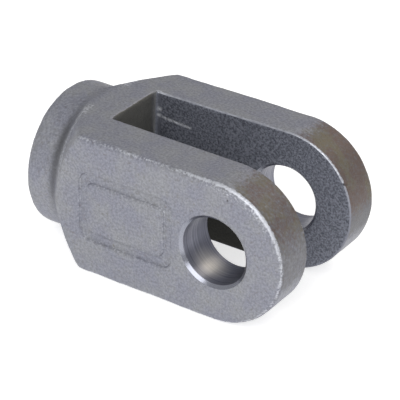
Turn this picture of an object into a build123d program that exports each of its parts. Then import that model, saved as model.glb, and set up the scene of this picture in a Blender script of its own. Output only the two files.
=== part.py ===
from build123d import *
import math
import os

# Clevis rod end: one drop forging in steel, drilled across for its pin and threaded for its rod.
# Millimetres. The origin is the middle of the pin hole: +X points out of the fork tips and -X
# along the rod, Y is the pin's axis and +Z is up. The fork lies on the narrow edges of its ears.

# --- fork ---
EAR_HEIGHT = 30.0               # over the narrow edges of an ear, whose tip is full-round
FORK_WIDTH = 35.0               # over the outer faces of both ears
EAR_EDGE_RADIUS = 1.2           # outer edges, as the die leaves them
TIP_REACH = 15.2                # from the pin's axis out to the tips

# --- slot, tapered so that the punch lets go ---
SLOT_WIDTH = 16.0               # at the pin's axis
SLOT_ROOT_WIDTH = 15.0          # at the slot's end wall
SLOT_DEPTH = 30.5               # from the pin's axis to the end wall
SLOT_CORNER_RADIUS = 1.0        # upright corners beside the end wall
SLOT_EDGE_CHAMFER = 0.25        # rim of the slot, where the burr was taken off

# --- pin hole ---
PIN_DIAMETER = 14.0             # the clevis pin that goes in
PIN_CLEARANCE = 0.1             # on the diameter
PIN_CHAMFER = 0.6               # on the panel ear's outer face and on both slot faces
PIN_LEAD_CHAMFER = 1.4          # on the plain ear's outer face, where the pin is driven in

# --- hub and shoulder ---
HUB_DIAMETER = 30.2
HUB_REACH = 46.3                # from the pin's axis to the hub's end face
HUB_EDGE_CHAMFER = 0.8          # edge round the end face, turned with it
NECK_REACH = 39.0               # from the pin's axis to where the shoulder cone meets the hub
NECK_RADIUS = 3.0               # hollow between the hub and the cone
SHOULDER_ANGLE = 46.0           # between the cone and the rod's axis
SHOULDER_CORNER_RADIUS = 5.0    # where the cone runs out over the fork's long edges
SHOULDER_EDGE_RADIUS = 1.2      # between the cone and the fork's faces

# --- rod thread M16 x 1.5, bored here to its core ---
THREAD_CORE_DIAMETER = 14.5
THREAD_MOUTH_CHAMFER = 1.0
THREAD_RUNOUT = 1.0             # how far the core drill comes through into the slot

# --- plain sunk border round a raised blank field, on one ear only ---
PANEL_LENGTH = 22.0
PANEL_HEIGHT = 15.0
PANEL_REACH = 20.4              # from the pin's axis back to the middle of the panel
PANEL_CORNER_RADIUS = 2.4
PANEL_DEPTH = 0.45
PANEL_DRAFT = 25.0              # slope of the border's walls
PANEL_BORDER = 1.7              # width of the border at its floor

# --- sizes that follow from these ---
ear_radius = EAR_HEIGHT / 2
tip_middle = TIP_REACH - ear_radius
half_width = FORK_WIDTH / 2
hub_radius = HUB_DIAMETER / 2
pin_hole_radius = (PIN_DIAMETER + PIN_CLEARANCE) / 2
core_radius = THREAD_CORE_DIAMETER / 2
cone_radius = math.hypot(ear_radius, half_width)
cone_length = (cone_radius - hub_radius) / math.tan(math.radians(SHOULDER_ANGLE))
cone_front = cone_length - NECK_REACH
slot_slope = (SLOT_WIDTH - SLOT_ROOT_WIDTH) / 2 / SLOT_DEPTH
half_root = SLOT_ROOT_WIDTH / 2
half_mouth = half_root + slot_slope * (SLOT_DEPTH + TIP_REACH)
panel_floor = half_width - PANEL_DEPTH
floor_inset = PANEL_DEPTH * math.tan(math.radians(PANEL_DRAFT))
field_inset = floor_inset + PANEL_BORDER
field_corner = PANEL_CORNER_RADIUS - PANEL_BORDER / 2

with BuildPart() as fork:
    # the bar, from the hub's end face to the round tips
    with BuildSketch(Plane.XZ):
        with BuildLine():
            Polyline(
                (tip_middle, ear_radius),
                (-HUB_REACH, ear_radius),
                (-HUB_REACH, -ear_radius),
                (tip_middle, -ear_radius),
            )
            ThreePointArc((tip_middle, -ear_radius), (TIP_REACH, 0), (tip_middle, ear_radius))
        make_face()
    extrude(amount=half_width, both=True)
    die_edges = fork.faces().filter_by(Axis.Y).edges().filter_by(Axis.Z, reverse=True)
    fillet(die_edges, EAR_EDGE_RADIUS)

    # everything behind the slot is turned: hub, hollow neck and shoulder cone
    with BuildSketch(Plane.XZ) as turned:
        with BuildLine():
            Polyline(
                (-HUB_REACH, 0),
                (-HUB_REACH, hub_radius),
                (-NECK_REACH, hub_radius),
                (cone_front, cone_radius),
                (TIP_REACH, cone_radius),
                (TIP_REACH, 0),
                close=True,
            )
        make_face()
        neck = turned.vertices().filter_by_position(Axis.Y, hub_radius, hub_radius).sort_by(Axis.X)[-1]
        fillet(neck, NECK_RADIUS)
        corner = turned.vertices().filter_by_position(Axis.Y, cone_radius, cone_radius).sort_by(Axis.X)[0]
        fillet(corner, SHOULDER_CORNER_RADIUS)
    revolve(axis=Axis.X, mode=Mode.INTERSECT)
    turned_faces = fork.faces().filter_by(GeomType.CONE) + fork.faces().filter_by(GeomType.TORUS)
    shoulder_edges = turned_faces.edges().filter_by(GeomType.CIRCLE, reverse=True)
    fillet(shoulder_edges, SHOULDER_EDGE_RADIUS)
    chamfer(fork.faces().sort_by(Axis.X)[0].edges(), HUB_EDGE_CHAMFER)

    # the slot between the ears
    with BuildSketch(Plane.XY) as slot:
        with BuildLine():
            Polyline(
                (-SLOT_DEPTH, -half_root),
                (TIP_REACH, -half_mouth),
                (TIP_REACH, half_mouth),
                (-SLOT_DEPTH, half_root),
                close=True,
            )
        make_face()
        fillet(slot.vertices().group_by(Axis.X)[0], SLOT_CORNER_RADIUS)
    extrude(amount=ear_radius, both=True, mode=Mode.SUBTRACT)
    between_ears = fork.edges().filter_by_position(Axis.Y, -half_mouth, half_mouth)
    in_slot = between_ears.filter_by_position(Axis.X, -SLOT_DEPTH, TIP_REACH)
    chamfer(in_slot.filter_by(Axis.Z, reverse=True), SLOT_EDGE_CHAMFER)

    # the pin hole through both ears
    with BuildSketch(Plane.XZ):
        Circle(pin_hole_radius)
    extrude(amount=half_width, both=True, mode=Mode.SUBTRACT)
    hole_walls = fork.faces().filter_by(GeomType.CYLINDER).filter_by(lambda wall: wall.radius == pin_hole_radius)
    hole_rims = hole_walls.edges().filter_by(Axis.Y, reverse=True).group_by(Axis.Y)
    chamfer(hole_rims[0] + hole_rims[1] + hole_rims[-2], PIN_CHAMFER)
    chamfer(hole_rims[-1], PIN_LEAD_CHAMFER)

    # the rod's bore, turned with its mouth and running out into the slot
    with BuildSketch(Plane.XZ):
        with BuildLine():
            Polyline(
                (-HUB_REACH, 0),
                (-HUB_REACH, core_radius + THREAD_MOUTH_CHAMFER),
                (-HUB_REACH + THREAD_MOUTH_CHAMFER, core_radius),
                (THREAD_RUNOUT - SLOT_DEPTH, core_radius),
                (THREAD_RUNOUT - SLOT_DEPTH, 0),
                close=True,
            )
        make_face()
    revolve(axis=Axis.X, mode=Mode.SUBTRACT)

    # the panel on the near ear: its border is sunk and the field inside stands level with the face
    with BuildSketch(Plane.XZ.offset(half_width)):
        with Locations((-PANEL_REACH, 0)):
            RectangleRounded(PANEL_LENGTH, PANEL_HEIGHT, PANEL_CORNER_RADIUS)
    extrude(amount=-PANEL_DEPTH, taper=PANEL_DRAFT, mode=Mode.SUBTRACT)
    with BuildSketch(Plane.XZ.offset(panel_floor)):
        with Locations((-PANEL_REACH, 0)):
            RectangleRounded(PANEL_LENGTH - 2 * field_inset, PANEL_HEIGHT - 2 * field_inset, field_corner)
    extrude(amount=PANEL_DEPTH, taper=PANEL_DRAFT)

fork.part.label = "clevis rod end"
os.makedirs("parts", exist_ok=True)
export_step(fork.part, "parts/clevis_rod_end.step")
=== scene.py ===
import math

import bmesh
import bpy
import numpy as np
from mathutils import Matrix, Vector, noise


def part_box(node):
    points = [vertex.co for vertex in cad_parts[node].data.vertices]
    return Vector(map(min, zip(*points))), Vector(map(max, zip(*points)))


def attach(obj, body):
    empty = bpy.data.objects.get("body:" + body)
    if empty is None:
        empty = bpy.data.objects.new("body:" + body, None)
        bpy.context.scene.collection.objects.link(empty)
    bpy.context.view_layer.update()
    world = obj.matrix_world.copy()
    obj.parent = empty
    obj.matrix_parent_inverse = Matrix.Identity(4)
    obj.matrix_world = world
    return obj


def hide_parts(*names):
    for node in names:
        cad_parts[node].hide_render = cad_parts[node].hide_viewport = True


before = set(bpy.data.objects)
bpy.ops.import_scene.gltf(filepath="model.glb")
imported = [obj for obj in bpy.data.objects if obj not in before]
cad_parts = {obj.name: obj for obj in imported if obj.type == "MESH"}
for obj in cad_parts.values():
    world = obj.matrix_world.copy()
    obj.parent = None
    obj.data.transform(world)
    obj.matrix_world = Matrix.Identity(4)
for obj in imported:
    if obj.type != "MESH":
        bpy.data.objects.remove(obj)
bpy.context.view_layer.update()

# The fork, its neck and its hub are one steel forging. It is trimmed and blasted clean, and
# then it is bored across for the clevis pin, faced at the hub and tapped for the rod. The
# slot between the two ears keeps the darker, rougher skin that the punch leaves.
MM = 0.001
EAR_OUTER_FACE = 17.5 * MM
EAR_TIP_MIDDLE = 0.2 * MM
PIN_HOLE_RADIUS = 7.05 * MM
PIN_RIM_RADIUS = 7.65 * MM
PIN_LEAD_RADIUS = 8.45 * MM
PIN_LEAD_CHAMFER = 1.4 * MM
SLOT_END = -30.5 * MM
SLOT_HALF_ROOT = 7.5 * MM
SLOT_SLOPE = 0.5 / 30.5
SLOT_RIM = 0.27 * MM
HUB_FACE = -46.3 * MM
THREAD_MOUTH_RADIUS = 8.25 * MM
THREAD_MOUTH_CHAMFER = 1.0 * MM
THREAD_CORE_RADIUS = 7.25 * MM

NET_CELL = 0.6 * MM
NET_SNAP = 0.04 * MM                         # points this near to a cut are taken as on it
WELD = 0.002 * MM
FLAT_ANGLE = math.radians(0.4)
NEARLY = 0.01 * MM
FULLY, SLOPING, HARDLY = 0.98, 0.3, 0.02     # how far a face looks along an axis, from 0 to 1

low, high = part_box("clevis_rod_end")
forging = bpy.data.objects.new("rod_end_forging", bpy.data.meshes.new("rod_end_forging"))
bpy.context.scene.collection.objects.link(forging)

steel = bmesh.new()
steel.from_mesh(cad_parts["clevis_rod_end"].data)
bmesh.ops.remove_doubles(steel, verts=steel.verts, dist=WELD)
bmesh.ops.dissolve_limit(steel, angle_limit=FLAT_ANGLE, verts=steel.verts, edges=steel.edges)

# which surface each face belongs to
SKIN, SLOT_SKIN, SLOT_RIM_BARE, PIN_BORE, PIN_CHAMFER, ROD_BORE = range(6)


def surface_of(middle, facing):
    """The finish of a face, from where it lies and which way it looks."""
    from_pin = math.hypot(middle.x, middle.z)
    from_rod = math.hypot(middle.y, middle.z)
    lead_side = middle.y > EAR_OUTER_FACE - PIN_LEAD_CHAMFER - NEARLY
    if from_pin < (PIN_LEAD_RADIUS if lead_side else PIN_RIM_RADIUS) and abs(facing.y) < FULLY:
        return PIN_CHAMFER if abs(facing.y) > SLOPING else PIN_BORE
    if middle.x < HUB_FACE + NEARLY:
        return ROD_BORE
    if middle.x < HUB_FACE + THREAD_MOUTH_CHAMFER and from_rod < THREAD_MOUTH_RADIUS:
        return ROD_BORE
    if middle.x < SLOT_END + THREAD_MOUTH_CHAMFER and from_rod < THREAD_CORE_RADIUS + NEARLY:
        return ROD_BORE if abs(facing.x) < HARDLY else SLOT_SKIN
    wall = SLOT_HALF_ROOT + SLOT_SLOPE * (middle.x - SLOT_END)
    if abs(middle.x - SLOT_END) < SLOT_RIM and facing.x > SLOPING and abs(middle.y) < wall:
        return SLOT_SKIN
    if middle.x < SLOT_END - NEARLY or abs(middle.y) > wall + SLOT_RIM:
        return SKIN
    if abs(middle.y) < wall + 2 * NEARLY:
        return SLOT_SKIN
    return SLOT_RIM_BARE if middle.x > SLOT_END + 2 * SLOT_RIM else SKIN


def reach(face, axis):
    """The lowest and the highest place of a face along an axis."""
    places = [corner.co[axis] for corner in face.verts]
    return min(places), max(places)


# a net of even cuts, so that the skin can carry its small waves; the bored walls need none
steel.normal_update()
bored_walls = {
    face for face in steel.faces
    if surface_of(face.calc_center_median(), face.normal) in (PIN_BORE, PIN_CHAMFER)
}
for axis in range(3):
    across = Vector((0, 0, 0))
    across[axis] = 1
    cuts = int((high[axis] - low[axis]) / NET_CELL)
    first = (low[axis] + high[axis] - (cuts - 1) * NET_CELL) / 2
    ahead = [face for face in steel.faces if face not in bored_walls]
    for cut in range(cuts):
        cut_at = first + cut * NET_CELL
        ahead = [face for face in ahead if reach(face, axis)[1] > cut_at + NET_SNAP]
        reached = dict.fromkeys(face for face in ahead if reach(face, axis)[0] < cut_at - NET_SNAP)
        parts = dict.fromkeys(part for face in reached for part in (*face.edges, *face.verts))
        made = bmesh.ops.bisect_plane(
            steel, geom=[*parts, *reached], dist=NET_SNAP, plane_co=across * cut_at, plane_no=across
        )
        ahead = [face for face in ahead if face not in reached]
        ahead += [part for part in made["geom"] if isinstance(part, bmesh.types.BMFace)]

steel.normal_update()
for face in steel.faces:
    face.material_index = surface_of(face.calc_center_median(), face.normal)

# The rod's thread is cut with a tap through the hub into the slot: M16 x 1.5, right hand,
# with 60 degree flanks. It takes the place of the plain core bore.
THREAD_PITCH = 1.5 * MM
THREAD_ROOT_RADIUS = 8.0 * MM
THREAD_ROWS = 16
THREAD_STEPS = 72
THREAD_ROOT_FLAT = 1 / 8                     # share of the pitch that is flat at the root
THREAD_END_SLOPE = 4.0                       # how fast the groove runs out at the slot
FLANK_SLOPE = math.tan(math.radians(60))
SEAM = 0.02 * MM                             # gap to the plain ends, stitched afterwards
tapped = bpy.data.materials.new("tapped_steel")

tapping = bpy.data.node_groups.new("tapped_thread", "GeometryNodeTree")
tapping.interface.new_socket("Geometry", in_out="INPUT", socket_type="NodeSocketGeometry")
sockets = {}
for label, kind in (
    ("Start", "NodeSocketFloat"),
    ("Length", "NodeSocketFloat"),
    ("Pitch", "NodeSocketFloat"),
    ("Core Radius", "NodeSocketFloat"),
    ("Root Radius", "NodeSocketFloat"),
    ("Mouth Radius", "NodeSocketFloat"),
    ("Rows", "NodeSocketInt"),
    ("Steps", "NodeSocketInt"),
    ("Finish", "NodeSocketMaterial"),
):
    sockets[label] = tapping.interface.new_socket(label, in_out="INPUT", socket_type=kind).identifier
tapping.interface.new_socket("Geometry", in_out="OUTPUT", socket_type="NodeSocketGeometry")


def add(tree, kind, **settings):
    """A node of this kind, with its settings."""
    made = tree.nodes.new(kind)
    for name, value in settings.items():
        setattr(made, name, value)
    return made


def math_node(tree, operation, *values):
    """A Math node; each of its values is a number or an output to read."""
    made = add(tree, "ShaderNodeMath", operation=operation)
    for socket, value in zip(made.inputs, values):
        if isinstance(value, (int, float)):
            socket.default_value = value
        else:
            tree.links.new(value, socket)
    return made.outputs[0]


def work(operation, *values):
    """A sum in the thread's tree."""
    return math_node(tapping, operation, *values)


given = add(tapping, "NodeGroupInput").outputs
out = add(tapping, "NodeGroupOutput")

# a sheet whose rows follow the helix, rolled into the bore; its ends are held square
turns = work("ADD", work("CEIL", work("DIVIDE", given["Length"], given["Pitch"])), 1.0)
sheet = add(tapping, "GeometryNodeMeshGrid")
sheet.inputs["Size X"].default_value = 1
sheet.inputs["Size Y"].default_value = 1
tapping.links.new(work("ADD", work("MULTIPLY", turns, given["Rows"]), 1.0), sheet.inputs["Vertices X"])
tapping.links.new(work("ADD", given["Steps"], 1.0), sheet.inputs["Vertices Y"])
flat = add(tapping, "ShaderNodeSeparateXYZ")
tapping.links.new(add(tapping, "GeometryNodeInputPosition").outputs[0], flat.inputs[0])
turn = work("ADD", flat.outputs["Y"], 0.5)
row = work("MULTIPLY", work("ADD", flat.outputs["X"], 0.5), turns)
advance = work("MULTIPLY", work("SUBTRACT", work("ADD", row, turn), 1.0), given["Pitch"])
along = work("MINIMUM", work("MAXIMUM", advance, 0.0), given["Length"])

# the groove's section: a flat at its root, straight flanks, and the core left between turns
turns_in = work("DIVIDE", along, given["Pitch"])
in_turn = work("FRACT", work("SUBTRACT", turns_in, work("SUBTRACT", turn, 2.0)))
from_root = work("MULTIPLY", work("ABSOLUTE", work("SUBTRACT", in_turn, 0.5)), given["Pitch"])
half_flat = work("DIVIDE", given["Pitch"], 2.0 / THREAD_ROOT_FLAT)
up_flank = work("MAXIMUM", work("SUBTRACT", from_root, half_flat), 0.0)
groove = work("SUBTRACT", given["Root Radius"], work("MULTIPLY", up_flank, FLANK_SLOPE))
to_slot = work("MULTIPLY", work("SUBTRACT", given["Length"], along), THREAD_END_SLOPE)
runs_out = work("MINIMUM", groove, work("ADD", given["Core Radius"], to_slot))
section = work("MAXIMUM", runs_out, given["Core Radius"])
outwards = work("MAXIMUM", section, work("SUBTRACT", given["Mouth Radius"], along))
angle = work("MULTIPLY", turn, math.tau)
place = add(tapping, "ShaderNodeCombineXYZ")
tapping.links.new(work("ADD", given["Start"], along), place.inputs[0])
tapping.links.new(work("MULTIPLY", outwards, work("COSINE", angle)), place.inputs[1])
tapping.links.new(work("MULTIPLY", outwards, work("SINE", angle)), place.inputs[2])
rolled = add(tapping, "GeometryNodeSetPosition")
tapping.links.new(sheet.outputs["Mesh"], rolled.inputs["Geometry"])
tapping.links.new(place.outputs[0], rolled.inputs["Position"])
closed = add(tapping, "GeometryNodeMergeByDistance")
closed.inputs["Distance"].default_value = WELD
tapping.links.new(rolled.outputs[0], closed.inputs["Geometry"])
real = add(tapping, "GeometryNodeRealizeInstances")
tapping.links.new(closed.outputs[0], real.inputs[0])
painted = add(tapping, "GeometryNodeSetMaterial")
tapping.links.new(real.outputs[0], painted.inputs["Geometry"])
tapping.links.new(given["Finish"], painted.inputs["Material"])
tapping.links.new(painted.outputs[0], out.inputs[0])

tap = bpy.data.objects.new("tapped_thread", bpy.data.meshes.new("tapped_thread"))
bpy.context.scene.collection.objects.link(tap)
cutting = tap.modifiers.new("tapped_thread", "NODES")
cutting.node_group = tapping
for label, value in (
    ("Start", HUB_FACE + SEAM),
    ("Length", SLOT_END - HUB_FACE - 2 * SEAM),
    ("Pitch", THREAD_PITCH),
    ("Core Radius", THREAD_CORE_RADIUS),
    ("Root Radius", THREAD_ROOT_RADIUS),
    ("Mouth Radius", THREAD_MOUTH_RADIUS - SEAM),
    ("Rows", THREAD_ROWS),
    ("Steps", THREAD_STEPS),
    ("Finish", tapped),
):
    cutting[sockets[label]] = value
tapped_now = tap.evaluated_get(bpy.context.evaluated_depsgraph_get())
thread = bpy.data.meshes.new_from_object(tapped_now)
thread.polygons.foreach_set("material_index", [ROD_BORE] * len(thread.polygons))
bpy.data.objects.remove(tap)


def open_ring(start, end):
    """The points round an open end of the bore, between two places along it, by their angle."""
    ends = {corner for edge in steel.edges if edge.is_boundary for corner in edge.verts}
    found = [corner for corner in ends if start < corner.co.x < end]
    return sorted(found, key=lambda corner: math.atan2(corner.co.z, corner.co.y))


def stitch(first, second):
    """Closes the narrow gap between two rings with triangles."""
    angles = [[math.atan2(corner.co.z, corner.co.y) for corner in ring] for ring in (first, second)]
    for ring in angles:
        ring.append(ring[0] + math.tau)
    here, there = 0, 0
    while here < len(first) or there < len(second):
        start, end = first[here % len(first)], second[there % len(second)]
        if there == len(second) or (here < len(first) and angles[0][here + 1] < angles[1][there + 1]):
            here += 1
            corner = first[here % len(first)]
        else:
            there += 1
            corner = second[there % len(second)]
        steel.faces.new((start, end, corner)).material_index = ROD_BORE


bore = [
    face for face in steel.faces
    if face.material_index == ROD_BORE and face.calc_center_median().x > HUB_FACE + NEARLY
]
bmesh.ops.delete(steel, geom=bore, context="FACES")
steel.from_mesh(thread)
for plain, threaded in (
    ((HUB_FACE - SEAM, HUB_FACE + SEAM / 2), (HUB_FACE + SEAM / 2, HUB_FACE + 2 * SEAM)),
    ((SLOT_END - SEAM / 2, 0), (SLOT_END - 2 * SEAM, SLOT_END - SEAM / 2)),
):
    stitch(open_ring(*plain), open_ring(*threaded))

# A pit on the panel ear's face, a nick in the plain ear's rim, and a drag mark and two scrapes
# on its slot wall. Each is a line between two places, with its width and depth in millimetres.
DENT, SCRAPE = range(2)
MARKS = (
    (DENT, (2.8, -17.5, 12.1), (2.8, -17.5, 12.1), 0.35, 0.25),
    (DENT, (12.9, 7.9, 7.5), (13.5, 8.8, 7.4), 0.40, 0.35),
    (SCRAPE, (-28.6, 7.53, 9.7), (-22.1, 7.64, 9.16), 0.50, 0.10),
    (SCRAPE, (-29.6, 7.50, 11.3), (-29.4, 7.52, 11.3), 0.75, 0.05),
    (SCRAPE, (-29.6, 7.50, 9.9), (-29.4, 7.52, 9.9), 0.65, 0.05),
)
MARK_CUTS = 3
MARK_NET_REACH = 1.5                         # how far out the finer net goes, in widths of a mark


def from_line(place, start, end):
    """How far a place is from a line; the line's ends are in millimetres."""
    start, line = Vector(start) * MM, Vector(end) * MM - Vector(start) * MM
    if line.length == 0:
        return (place - start).length
    share = min(max((place - start).dot(line) / line.length_squared, 0.0), 1.0)
    return (place - start - line * share).length


def is_marked(place):
    """Whether a place is on a mark or close beside it."""
    return any(
        from_line(place, start, end) < MARK_NET_REACH * width * MM + NET_CELL / 2
        for kind, start, end, width, depth in MARKS
    )


finer = [edge for edge in steel.edges if is_marked((edge.verts[0].co + edge.verts[1].co) / 2)]
bmesh.ops.subdivide_edges(steel, edges=finer, cuts=MARK_CUTS, use_grid_fill=True)
bmesh.ops.triangulate(steel, faces=steel.faces)
bmesh.ops.recalc_face_normals(steel, faces=steel.faces)
steel.to_mesh(forging.data)
steel.free()

skin = forging.data


def read(parts, name, columns, kind=float):
    """One value, or a row of them, from each of the skin's points, edges, faces or corners."""
    values = np.zeros(len(parts) * columns, dtype=kind)
    parts.foreach_get(name, values)
    return values.reshape(-1, columns)


points = read(skin.vertices, "co", 3)
facing = read(skin.vertices, "normal", 3)
links = read(skin.edges, "vertices", 2, np.int64)
finishes = read(skin.polygons, "material_index", 1, np.int32).ravel()
corners = read(skin.loops, "vertex_index", 1, np.int64).reshape(-1, 3)
x, y, z = points.T.copy()
from_rod = np.hypot(y, z)
from_pin = np.hypot(x, z)


def gather(values):
    """The mean of each point's neighbours."""
    total = np.zeros_like(values)
    count = np.zeros(len(values))
    for here, there in ((0, 1), (1, 0)):
        count += np.bincount(links[:, here], minlength=len(values))
        for column in range(values.shape[1]):
            beyond = values[links[:, there], column]
            total[:, column] += np.bincount(links[:, here], beyond, len(values))
    return total / count[:, None]


def ramp(values, start, end):
    """0 at start and 1 at end, with a soft start and end."""
    share = np.clip((values - start) / (end - start), 0, 1)
    return share * share * (3 - 2 * share)


def touching(*chosen):
    """The points on any face of these finishes."""
    found = np.zeros(len(points), dtype=bool)
    found[corners[np.isin(finishes, chosen)].ravel()] = True
    return found


# the boring bar leaves the pin hole and its outer rims truly round
ROUND_WITHIN = 0.05 * MM
outside = abs(y) > EAR_OUTER_FACE - NEARLY
for radius, there in (
    (PIN_HOLE_RADIUS, ~outside),
    (PIN_RIM_RADIUS, outside),
    (PIN_LEAD_RADIUS, outside),
):
    ring = touching(PIN_BORE, PIN_CHAMFER) & there & (abs(from_pin - radius) < ROUND_WITHIN)
    points[ring, 0] *= radius / from_pin[ring]
    points[ring, 2] *= radius / from_pin[ring]

# The die leaves the shoulder, the hub's edge, the slot's end and the panel's border blunt. Each
# of these is a place where points move towards the middle of their neighbours.
BLUNT_STEP = 0.5
PANEL_BLUNT = 0.3
shoulder = ramp(-x, 32.6 * MM, 34.0 * MM) * ramp(x, -38.6 * MM, -37.6 * MM)
shoulder *= ramp(from_rod, 14 * MM, 15 * MM)
hub_edge = ramp(-x, 44.5 * MM, 45.2 * MM) * ramp(from_rod, 12 * MM, 13 * MM)
slot_end = ramp(-x, 29.4 * MM, 30.2 * MM) * ramp(x, -33.2 * MM, -32.2 * MM)
slot_end *= ramp(abs(z), 13.2 * MM, 14.2 * MM)
panel = ramp(-y, 16.6 * MM, 16.9 * MM) * ramp(-x, 8.2 * MM, 8.8 * MM) * ramp(x, -32.6 * MM, -32.0 * MM)
for blunt, passes in ((shoulder, 5), (np.maximum(hub_edge, slot_end), 4), (panel * PANEL_BLUNT, 1)):
    for _ in range(passes):
        points += BLUNT_STEP * blunt[:, None] * (gather(points) - points)

# small waves of the forged skin, which stop at the bored edges
WAVES = ((9.0 * MM, 0.09 * MM), (3.5 * MM, 0.06 * MM), (1.5 * MM, 0.035 * MM))
height = np.zeros(len(points))
for length, depth in WAVES:
    height += depth * np.array([noise.noise(Vector(point) / length) for point in points])
height[touching(SLOT_RIM_BARE, PIN_BORE, PIN_CHAMFER, ROD_BORE)] = 0
marked = np.zeros((2, len(points)))
for kind, start, end, width, depth in MARKS:
    away = np.array([from_line(Vector(point), start, end) for point in points])
    mark = 1 - ramp(away, 0, width * MM)
    height -= depth * MM * mark
    marked[kind] = np.maximum(marked[kind], mark)
points += facing * height[:, None]
points = np.clip(points, np.array(low), np.array(high))
skin.vertices.foreach_set("co", points.ravel())

# Wear and painted light: the round outer edges of the ears are worn, and at the tips these edges
# and the faces beside them carry a painted highlight; the ridge where the shoulder's cone runs out
# over the hollow neck is painted lighter. Angles are in degrees.
RIDGE_MIDDLE = -36.9 * MM
EDGE_WEAR, TIP_EDGE_HIGHLIGHT, RIDGE_LIGHTER, BESIDE_HIGHLIGHT = 0.46, 0.44, 0.48, 0.4
around_tip = np.degrees(np.arctan2(z, x - EAR_TIP_MIDDLE))
around_rod = np.degrees(np.arctan2(z, -y))
leaning = np.degrees(np.arcsin(np.clip(abs(facing[:, 1]), 0, 1)))
rounding = ramp(leaning, 12, 38) * (1 - ramp(leaning, 46, 80)) * ramp(x, -33 * MM, -31 * MM)
at_tip = ramp(x, -12 * MM, 4 * MM) * ramp(around_tip, -10, 55)
ridge = 1 - ramp(abs(x - RIDGE_MIDDLE), 0.4 * MM, 1.8 * MM)
from_flat = np.degrees(np.arctan2(abs(z), abs(y)))
ridge *= ramp(from_flat, 5, 25) * (1 - ramp(from_flat, 66, 82))
ridge *= ramp(from_rod, 15.2 * MM, 15.8 * MM)
beside = ramp(np.hypot(x - EAR_TIP_MIDDLE, z), 11.8 * MM, 14.0 * MM) * ramp(leaning, 50, 70) * at_tip
rounding *= EDGE_WEAR + TIP_EDGE_HIGHLIGHT * at_tip
wear_and_highlight = np.maximum.reduce((rounding, RIDGE_LIGHTER * ridge, BESIDE_HIGHLIGHT * beside))
wear_and_highlight[touching(SLOT_RIM_BARE, PIN_BORE, PIN_CHAMFER, ROD_BORE)] = 0

# the slot's rim is worn all along, and it carries a painted highlight, most of all at the slot's end
# and at the plain ear's tip, where it is bright down to the nick
PANEL_EAR_RIM, PLAIN_EAR_RIM, PLAIN_EAR_TIP_RIM, SLOT_END_RIM = 0.35, 0.5, 0.2, 0.9
UNDER_NICK_RIM = 0.35
rim_wear_and_highlight = PLAIN_EAR_TIP_RIM * (1 - ramp(around_tip, 70, 92)) * ramp(x, -10 * MM, 2 * MM)
rim_wear_and_highlight = np.maximum(PLAIN_EAR_RIM + rim_wear_and_highlight, SLOT_END_RIM * ramp(-x, 25 * MM, 28 * MM))
rim_wear_and_highlight *= ramp(around_tip, 29, 32)
rim_wear_and_highlight = np.maximum(rim_wear_and_highlight, UNDER_NICK_RIM * ramp(around_tip, -5, 30))
rim_wear_and_highlight = np.where(y > 0, rim_wear_and_highlight, PANEL_EAR_RIM)
rim = touching(SLOT_RIM_BARE)
wear_and_highlight[rim] = rim_wear_and_highlight[rim]

# painted shade in the hollow of the neck, most of all on the panel side, and in the dents
NECK_MIDDLE = -39.2 * MM
neck = (1 - ramp(abs(x - NECK_MIDDLE), 0, 2.0 * MM)) * ramp(from_rod, 14.4 * MM, 14.9 * MM)
neck *= 0.35 + 0.65 * ramp(around_rod, -25, 5) * (1 - ramp(around_rod, 40, 75))
hollow_shade = np.maximum(neck, marked[DENT])

# painted shade on the narrow faces of the tips, and a painted warm reflection towards their tops;
# on the plain ear the painted shade is darker and the warm reflection reaches lower
narrow = 1 - ramp(abs(facing[:, 1]), 0.25, 0.8)
tip_shade = narrow * ramp(x, -6 * MM, 0) * ramp(around_tip, -28, -8) * (1 - ramp(around_tip, 66, 90))
tip_shade *= np.where(y > 0, 1, 0.75)
warm_reflection = tip_shade * ramp(around_tip, np.where(y > 0, -8, 5), np.where(y > 0, 15, 34))
for label, values in (
    ("wear_and_highlight", wear_and_highlight),
    ("hollow_shade", hollow_shade),
    ("tip_shade", tip_shade),
    ("warm_reflection", warm_reflection),
    ("scraped", marked[SCRAPE]),
):
    kept = skin.attributes.new(label, "FLOAT", "POINT")
    kept.data.foreach_set("value", values)
SHARP_EDGE = math.radians(30)
skin.shade_smooth()
skin.set_sharp_from_angle(angle=SHARP_EDGE)

# The bored walls and their chamfers shade as the true cylinder and cones that they are. A
# normal of zero leaves a corner as it is.
CHAMFER_FACING = math.sin(math.radians(45))
sideways = read(skin.polygons, "normal", 3)[:, 1]
sideways = np.where(abs(sideways) < CHAMFER_FACING / 2, 0, np.sign(sideways) * CHAMFER_FACING)
sideways = np.repeat(sideways, 3)
inwards = points[corners.ravel()] * (-1, 0, -1)
inwards *= (np.sqrt(1 - sideways**2) / np.maximum(np.linalg.norm(inwards, axis=1), NEARLY))[:, None]
inwards[:, 1] = sideways
inwards[np.repeat(~np.isin(finishes, (PIN_BORE, PIN_CHAMFER)), 3)] = 0
skin.normals_split_custom_set(inwards)


def group(name, inputs, outputs):
    """An empty shader node group with named number sockets."""
    tree = bpy.data.node_groups.new(name, "ShaderNodeTree")
    for label, value in inputs:
        socket = tree.interface.new_socket(label, in_out="INPUT", socket_type="NodeSocketFloat")
        socket.default_value = value
    for label in outputs:
        tree.interface.new_socket(label, in_out="OUTPUT", socket_type="NodeSocketFloat")
    return tree, add(tree, "NodeGroupInput").outputs, add(tree, "NodeGroupOutput").inputs


def placed(tree, made, **values):
    """A group placed in a material, with its own values."""
    here = add(tree, "ShaderNodeGroup", node_tree=made)
    for name, value in values.items():
        here.inputs[name.replace("_", " ")].default_value = value
    return here.outputs


def grainy(tree, size, detail=3, roughness=0.6):
    """Noise in the piece's own coordinates, with grains of this size."""
    made = add(tree, "ShaderNodeTexNoise", noise_dimensions="3D")
    made.inputs["Detail"].default_value = detail
    made.inputs["Roughness"].default_value = roughness
    tree.links.new(add(tree, "ShaderNodeTexCoord").outputs["Object"], made.inputs["Vector"])
    tree.links.new(math_node(tree, "DIVIDE", 1.0, size), made.inputs["Scale"])
    return made.outputs[0]


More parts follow.
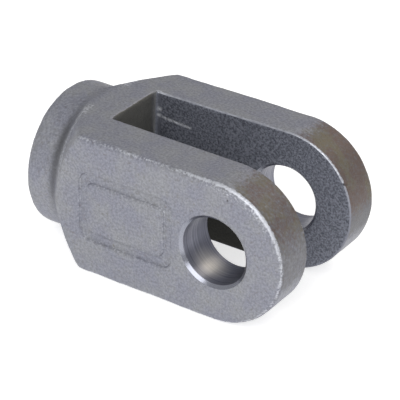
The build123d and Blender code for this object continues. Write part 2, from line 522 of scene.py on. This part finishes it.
def span(tree, value, start, end, low_value=0.0, high_value=1.0):
    """A Map Range node, smooth at both ends; its limits are numbers or outputs to read."""
    made = add(tree, "ShaderNodeMapRange", interpolation_type="SMOOTHSTEP")
    tree.links.new(value, made.inputs["Value"])
    limits = (("From Min", start), ("From Max", end), ("To Min", low_value), ("To Max", high_value))
    for label, limit in limits:
        if isinstance(limit, bpy.types.NodeSocket):
            tree.links.new(limit, made.inputs[label])
        else:
            made.inputs[label].default_value = limit
    return made.outputs[0]


def mix(tree, share, first, second):
    """A colour between two others; each is a value or an output to read."""
    made = add(tree, "ShaderNodeMix", data_type="RGBA")
    for socket, value in ((made.inputs[0], share), (made.inputs[6], first), (made.inputs[7], second)):
        if isinstance(value, bpy.types.NodeSocket):
            tree.links.new(value, socket)
        else:
            socket.default_value = value
    return made.outputs[2]


# blast grain: pits for the bump, fine mottling, slow patches of tint, and small soft specks
grain, given, out = group(
    "blast_grain",
    (
        ("Pit Size", 0.4 * MM),
        ("Mottle Size", 0.5 * MM),
        ("Patch Size", 6 * MM),
        ("Speck Size", 0.5 * MM),
        ("Speck Share", 0.1),
    ),
    ("Pits", "Mottle", "Patches", "Specks"),
)
grain.links.new(grainy(grain, given["Pit Size"]), out["Pits"])
mottle = grainy(grain, given["Mottle Size"], detail=4, roughness=0.65)
grain.links.new(span(grain, mottle, 0.34, 0.66), out["Mottle"])
patches = grainy(grain, given["Patch Size"], detail=4)
grain.links.new(span(grain, patches, 0.35, 0.65), out["Patches"])
level = math_node(grain, "SUBTRACT", 0.75, given["Speck Share"])
over = math_node(grain, "SUBTRACT", grainy(grain, given["Speck Size"], detail=2), level)
grain.links.new(span(grain, over, 0, 0.18), out["Specks"])

# ragged edge: a mask that the forging carries, with its border broken up by the grain
ragged_edge, given, out = group(
    "ragged_edge",
    (("Mask", 0.0), ("Starts", 0.3), ("Ends", 0.75), ("Ragged", 0.9), ("Ragged Size", 0.5 * MM)),
    ("Mask",),
)
uneven = math_node(ragged_edge, "SUBTRACT", grainy(ragged_edge, given["Ragged Size"]), 0.5)
uneven = math_node(ragged_edge, "MULTIPLY_ADD", uneven, given["Ragged"], given["Mask"])
ragged_edge.links.new(span(ragged_edge, uneven, given["Starts"], given["Ends"]), out["Mask"])


def painted_on(tree, label):
    """A mask that the forging carries at its points."""
    return add(tree, "ShaderNodeAttribute", attribute_name=label).outputs["Fac"]


def ragged(tree, label, **values):
    """A mask that the forging carries, with a ragged border."""
    made = placed(tree, ragged_edge, **values)["Mask"]
    tree.links.new(painted_on(tree, label), made.node.inputs["Mask"])
    return made


def own_place(tree):
    """The piece's own coordinates, as one output for each axis."""
    axes = add(tree, "ShaderNodeSeparateXYZ")
    tree.links.new(add(tree, "ShaderNodeTexCoord").outputs["Object"], axes.inputs[0])
    return axes.outputs


def times(tree, first, second):
    """The product of two masks or numbers."""
    return math_node(tree, "MULTIPLY", first, second)


# turning marks: fine rings round an axis
turning, given, out = group("turning_marks", (("Place", 0.0), ("Pitch", 0.15 * MM)), ("Rings", "Bands"))
for label, wide in (("Rings", 1.0), ("Bands", 4.0)):
    rings = add(turning, "ShaderNodeTexNoise", noise_dimensions="1D")
    rings.inputs["Detail"].default_value = 2
    rings.inputs["Scale"].default_value = 1
    pitch = math_node(turning, "MULTIPLY", given["Pitch"], wide)
    turning.links.new(math_node(turning, "DIVIDE", given["Place"], pitch), rings.inputs["W"])
    turning.links.new(rings.outputs[0], out[label])


def finish(made, roughness, metallic, bump_depth):
    """Sets a material's shader, and gives it a Bump node ready for its height."""
    made.use_nodes = True
    tree = made.node_tree
    shader = tree.nodes["Principled BSDF"]
    shader.inputs["Metallic"].default_value = metallic
    shader.inputs["Roughness"].default_value = roughness
    bump = add(tree, "ShaderNodeBump")
    bump.inputs["Distance"].default_value = bump_depth
    tree.links.new(bump.outputs[0], shader.inputs["Normal"])
    return tree, shader.inputs, bump.inputs


# the blasted skin, mottled grey with a slow tint, and over it painted shade and a painted warm
# reflection on the tips, painted shade in the hollows, and the wear with its painted highlights
STEEL_LIGHT = (0.382, 0.395, 0.464, 1)
STEEL_DARK = (0.212, 0.219, 0.260, 1)
STEEL_OLIVE = (0.345, 0.346, 0.334, 1)
STEEL_VIOLET = (0.262, 0.267, 0.318, 1)
# bare steel, also used as a painted highlight
STEEL_BARE_AND_SHEEN = (0.74, 0.76, 0.82, 1)
# painted shade of the tips' narrow faces, and the two tones of their painted warm reflection
TIP_SHADE = (0.135, 0.133, 0.140, 1)
WARM_REFLECTION_DEEP = (0.150, 0.100, 0.078, 1)
WARM_REFLECTION_PALE = (0.165, 0.138, 0.085, 1)
# painted shade of the hollows
STEEL_HOLLOW_SHADE = (0.085, 0.087, 0.097, 1)
TINT_SHARE = 0.4
BLASTED_ROUGH, RUBBED_ROUGH = 0.52, 0.36

blasted = bpy.data.materials.new("blasted_steel")
tree, shader, bump = finish(blasted, roughness=BLASTED_ROUGH, metallic=0.65, bump_depth=0.14 * MM)
blast = placed(tree, grain, Pit_Size=0.4 * MM, Mottle_Size=0.5 * MM, Patch_Size=5 * MM)
colour = mix(tree, blast["Mottle"], STEEL_DARK, STEEL_LIGHT)
tint = mix(tree, blast["Patches"], STEEL_VIOLET, STEEL_OLIVE)
colour = mix(tree, TINT_SHARE, colour, tint)
# painted shade on the tips, and a painted warm reflection towards their tops
shaded_tips = ragged(tree, "tip_shade", Starts=0.0, Ends=1.0, Ragged=1.2, Ragged_Size=0.9 * MM)
warm_reflection_mask = ragged(tree, "warm_reflection", Starts=0.0, Ends=1.3, Ragged=2.6, Ragged_Size=0.6 * MM)
warm_reflection_colour = mix(tree, span(tree, blast["Patches"], 0.2, 0.8), WARM_REFLECTION_DEEP, WARM_REFLECTION_PALE)
# wear on the edges, with painted highlights at the tips and a lighter painted band on the ridge
worn_and_lit = ragged(tree, "wear_and_highlight", Ragged=1.3, Ragged_Size=0.5 * MM)
for mask, share, stain in (
    (shaded_tips, 0.75, TIP_SHADE),
    (warm_reflection_mask, 0.8, warm_reflection_colour),
    (painted_on(tree, "hollow_shade"), 0.75, STEEL_HOLLOW_SHADE),
    (worn_and_lit, 0.65, STEEL_BARE_AND_SHEEN),
):
    colour = mix(tree, times(tree, mask, share), colour, stain)
tree.links.new(colour, shader["Base Color"])
tree.links.new(span(tree, worn_and_lit, 0, 1, BLASTED_ROUGH, RUBBED_ROUGH), shader["Roughness"])
tree.links.new(blast["Pits"], bump["Height"])

# the punched skin of the slot, olive and darkened with painted shade at the end wall, with a painted
# light band in its corners and painted shade deep down
SLOT_BLUE = (0.290, 0.305, 0.360, 1)
SLOT_DARK = (0.105, 0.112, 0.140, 1)
SLOT_SPECK = (0.38, 0.39, 0.43, 1)
# painted light of the slot's corners
SLOT_CORNER_LIGHT = (0.190, 0.200, 0.240, 1)
# olive of the end wall, darkened with painted shade
SLOT_END_OLIVE_SHADE = (0.150, 0.148, 0.136, 1)
SLOT_SCRAPED = (0.86, 0.88, 0.93, 1)
# painted shade deep in the slot
SLOT_SHADE = (0.030, 0.030, 0.026, 1)
SPECK_SHARE = 0.7

punched = bpy.data.materials.new("punched_steel")
tree, shader, bump = finish(punched, roughness=0.55, metallic=0.65, bump_depth=0.16 * MM)
blast = placed(
    tree, grain, Pit_Size=0.45 * MM, Mottle_Size=0.45 * MM, Speck_Size=0.5 * MM, Speck_Share=0.12
)
colour = mix(tree, blast["Mottle"], SLOT_DARK, SLOT_BLUE)
colour = mix(tree, times(tree, blast["Specks"], SPECK_SHARE), colour, SLOT_SPECK)
where = own_place(tree)
# olive at the end wall, darkened there with painted shade
end_wall_shade = span(tree, where["X"], SLOT_END + 0.5 * MM, SLOT_END + 0.1 * MM)
colour = mix(tree, end_wall_shade, colour, SLOT_END_OLIVE_SHADE)
# a painted light band along the corners by the slot's end
corner_light = span(tree, math_node(tree, "ABSOLUTE", where["Y"]), 5.6 * MM, 6.8 * MM)
corner_light = times(tree, corner_light, span(tree, where["X"], SLOT_END + 1.7 * MM, SLOT_END + 1.1 * MM))
corner_light = times(tree, corner_light, span(tree, where["X"], SLOT_END + 0.2 * MM, SLOT_END + 0.6 * MM, 0.3, 1.0))
colour = mix(tree, corner_light, colour, SLOT_CORNER_LIGHT)
# painted shade deep down in the slot, towards the bottom and the root
deep_shade = span(tree, where["Z"], 3 * MM, -8 * MM)
deep_shade = times(tree, deep_shade, span(tree, where["X"], 4 * MM, -8 * MM))
colour = mix(tree, deep_shade, colour, SLOT_SHADE)
scraped = times(tree, painted_on(tree, "scraped"), span(tree, blast["Mottle"], 0, 1, 0.4, 0.9))
colour = mix(tree, scraped, colour, SLOT_SCRAPED)
tree.links.new(colour, shader["Base Color"])
tree.links.new(blast["Pits"], bump["Height"])

# the slot's rim, filed clean of its burr, bright where it is worn and where a highlight is painted on
# it, with painted shade in the nick
rim_wear_and_shine = bpy.data.materials.new("rim_wear_and_shine")
tree, shader, bump = finish(rim_wear_and_shine, roughness=0.4, metallic=0.8, bump_depth=0.05 * MM)
blast = placed(tree, grain, Pit_Size=0.3 * MM, Mottle_Size=1.2 * MM)
shine = times(tree, painted_on(tree, "wear_and_highlight"), span(tree, blast["Mottle"], 0, 1, 0.5, 1.0))
colour = mix(tree, shine, STEEL_DARK, STEEL_BARE_AND_SHEEN)
# painted shade in the nick
colour = mix(tree, painted_on(tree, "hollow_shade"), colour, SLOT_SHADE)
tree.links.new(colour, shader["Base Color"])
tree.links.new(blast["Pits"], bump["Height"])


def ring_place(tree, along, first, second):
    """Where a point lies along an axis and out from it, as one length."""
    axes = own_place(tree)
    squares = [times(tree, axes[side], axes[side]) for side in (first, second)]
    outwards = math_node(tree, "SQRT", math_node(tree, "ADD", *squares))
    return math_node(tree, "ADD", outwards, axes[along])


# the walls that a tool has turned, each with rings round its own axis; a painted warm reflection
# lightens the bottom of the pin hole in one place
BORED_DARK = (0.16, 0.165, 0.210, 1)
BORED_LIGHT = (0.285, 0.29, 0.345, 1)
# the colour of the painted warm reflection in the pin hole
BORED_REFLECTION = (0.66, 0.63, 0.58, 1)
TAPPED_DARK = (0.19, 0.195, 0.225, 1)
TAPPED_LIGHT = (0.31, 0.315, 0.350, 1)
CHAMFER_DARK = (0.30, 0.31, 0.36, 1)
CHAMFER_LIGHT = (0.46, 0.47, 0.52, 1)
REFLECTION_MIDDLE = (-3.4, -12.6, -6.4)            # millimetres
REFLECTION_REACH = 5.0 * MM
bored = bpy.data.materials.new("bored_steel")
chamfered = bpy.data.materials.new("chamfered_steel")
for made, axes, pitch, roughness, metallic, darkest, lightest in (
    (bored, "YXZ", 0.14 * MM, 0.34, 0.75, BORED_DARK, BORED_LIGHT),
    (chamfered, "YXZ", 0.14 * MM, 0.25, 0.9, CHAMFER_DARK, CHAMFER_LIGHT),
    (tapped, "XYZ", 0.2 * MM, 0.34, 0.9, TAPPED_DARK, TAPPED_LIGHT),
):
    tree, shader, bump = finish(made, roughness, metallic, bump_depth=0.02 * MM)
    marks = placed(tree, turning, Pitch=pitch)
    tree.links.new(ring_place(tree, *axes), marks["Rings"].node.inputs["Place"])
    colour = mix(tree, span(tree, marks["Bands"], 0.3, 0.7), darkest, lightest)
    if made == bored:
        from_reflection = add(tree, "ShaderNodeVectorMath", operation="DISTANCE")
        tree.links.new(add(tree, "ShaderNodeTexCoord").outputs["Object"], from_reflection.inputs[0])
        from_reflection.inputs[1].default_value = Vector(REFLECTION_MIDDLE) * MM
        painted_reflection = span(tree, from_reflection.outputs["Value"], REFLECTION_REACH, 0)
        painted_reflection = times(tree, painted_reflection, span(tree, marks["Rings"], 0.3, 0.7, 0.6, 1.0))
        colour = mix(tree, painted_reflection, colour, BORED_REFLECTION)
    tree.links.new(colour, shader["Base Color"])
    tree.links.new(marks["Rings"], bump["Height"])

# in the order of SKIN, SLOT_SKIN, SLOT_RIM_BARE, PIN_BORE, PIN_CHAMFER and ROD_BORE
for made in (blasted, punched, rim_wear_and_shine, bored, chamfered, tapped):
    skin.materials.append(made)
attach(forging, "root")
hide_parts("clevis_rod_end")

# The rod end lies on a plain white table, in the light of a big soft lamp over the camera and
# a weaker, warmer one behind it.
TABLE_SIZE = 4.0
TABLE_GAP = 0.02 * MM
TABLE_GLOW = 0.6
TABLE_WHITE = (0.85, 0.85, 0.85, 1)
TABLE_ROUGH = 0.9
SKY_LIGHT = 0.50
WHITE = (1, 1, 1, 1)
floor = bpy.data.objects.new("floor", bpy.data.meshes.new("floor"))
bpy.context.scene.collection.objects.link(floor)
table = bmesh.new()
under = Matrix.Translation((0, 0, low.z - TABLE_GAP))
bmesh.ops.create_grid(table, x_segments=1, y_segments=1, size=TABLE_SIZE / 2, matrix=under)
table.to_mesh(floor.data)
table.free()
white = bpy.data.materials.new("white_table")
white.use_nodes = True
tree = white.node_tree
shader = tree.nodes["Principled BSDF"].inputs
shader["Base Color"].default_value = TABLE_WHITE
shader["Roughness"].default_value = TABLE_ROUGH
shader["Emission Color"].default_value = WHITE
ray = add(tree, "ShaderNodeLightPath").outputs
seen = math_node(tree, "MAXIMUM", ray["Is Camera Ray"], ray["Is Glossy Ray"])
seen = math_node(tree, "MAXIMUM", seen, ray["Is Transmission Ray"])
tree.links.new(times(tree, seen, TABLE_GLOW), shader["Emission Strength"])
floor.data.materials.append(white)

world = bpy.data.worlds.new("studio")
bpy.context.scene.world = world
world.use_nodes = True
sky = world.node_tree.nodes["Background"].inputs
sky["Color"].default_value = WHITE
sky["Strength"].default_value = SKY_LIGHT


def lamp(name, azimuth, elevation, distance, size, watts, colour=(1, 1, 1)):
    """A square softbox that looks at the part, from an angle round it and one above the table."""
    data = bpy.data.lights.new(name, "AREA")
    data.size = size
    data.energy = watts
    data.color = colour
    made = bpy.data.objects.new(name, data)
    round_it, above = math.radians(azimuth), math.radians(elevation)
    level = math.cos(above)
    way = Vector((math.sin(round_it) * level, -math.cos(round_it) * level, math.sin(above)))
    turned = way.to_track_quat("Z", "Y").to_matrix().to_4x4()
    made.matrix_world = Matrix.Translation(way * distance) @ turned
    bpy.context.scene.collection.objects.link(made)


lamp("over_camera", azimuth=20, elevation=40, distance=0.6, size=0.45, watts=1.75)
lamp("behind", azimuth=165, elevation=42, distance=0.6, size=0.30, watts=0.6, colour=(1, 0.93, 0.84))

# The camera looks down on the panel side, a little from the tips.
CAMERA_PLACE = (0.163363, -0.278491, 0.184103)
CAMERA_RIGHT = (0.833867, 0.551206, 0.028923)
CAMERA_DOWN = (0.291077, -0.394613, -0.871524)
CAMERA_AHEAD = (-0.468976, 0.735154, -0.489499)
LENS = 172.0144
SENSOR = 36
camera = bpy.data.objects.new("camera", bpy.data.cameras.new("camera"))
camera.data.sensor_width = SENSOR
camera.data.lens = LENS
right, down, ahead = (Vector(way) for way in (CAMERA_RIGHT, CAMERA_DOWN, CAMERA_AHEAD))
aimed = Matrix((right, -down, -ahead)).transposed().to_4x4()
camera.matrix_world = Matrix.Translation(CAMERA_PLACE) @ aimed
bpy.context.scene.collection.objects.link(camera)
bpy.context.scene.camera = camera
bpy.context.scene.view_settings.view_transform = "Standard"
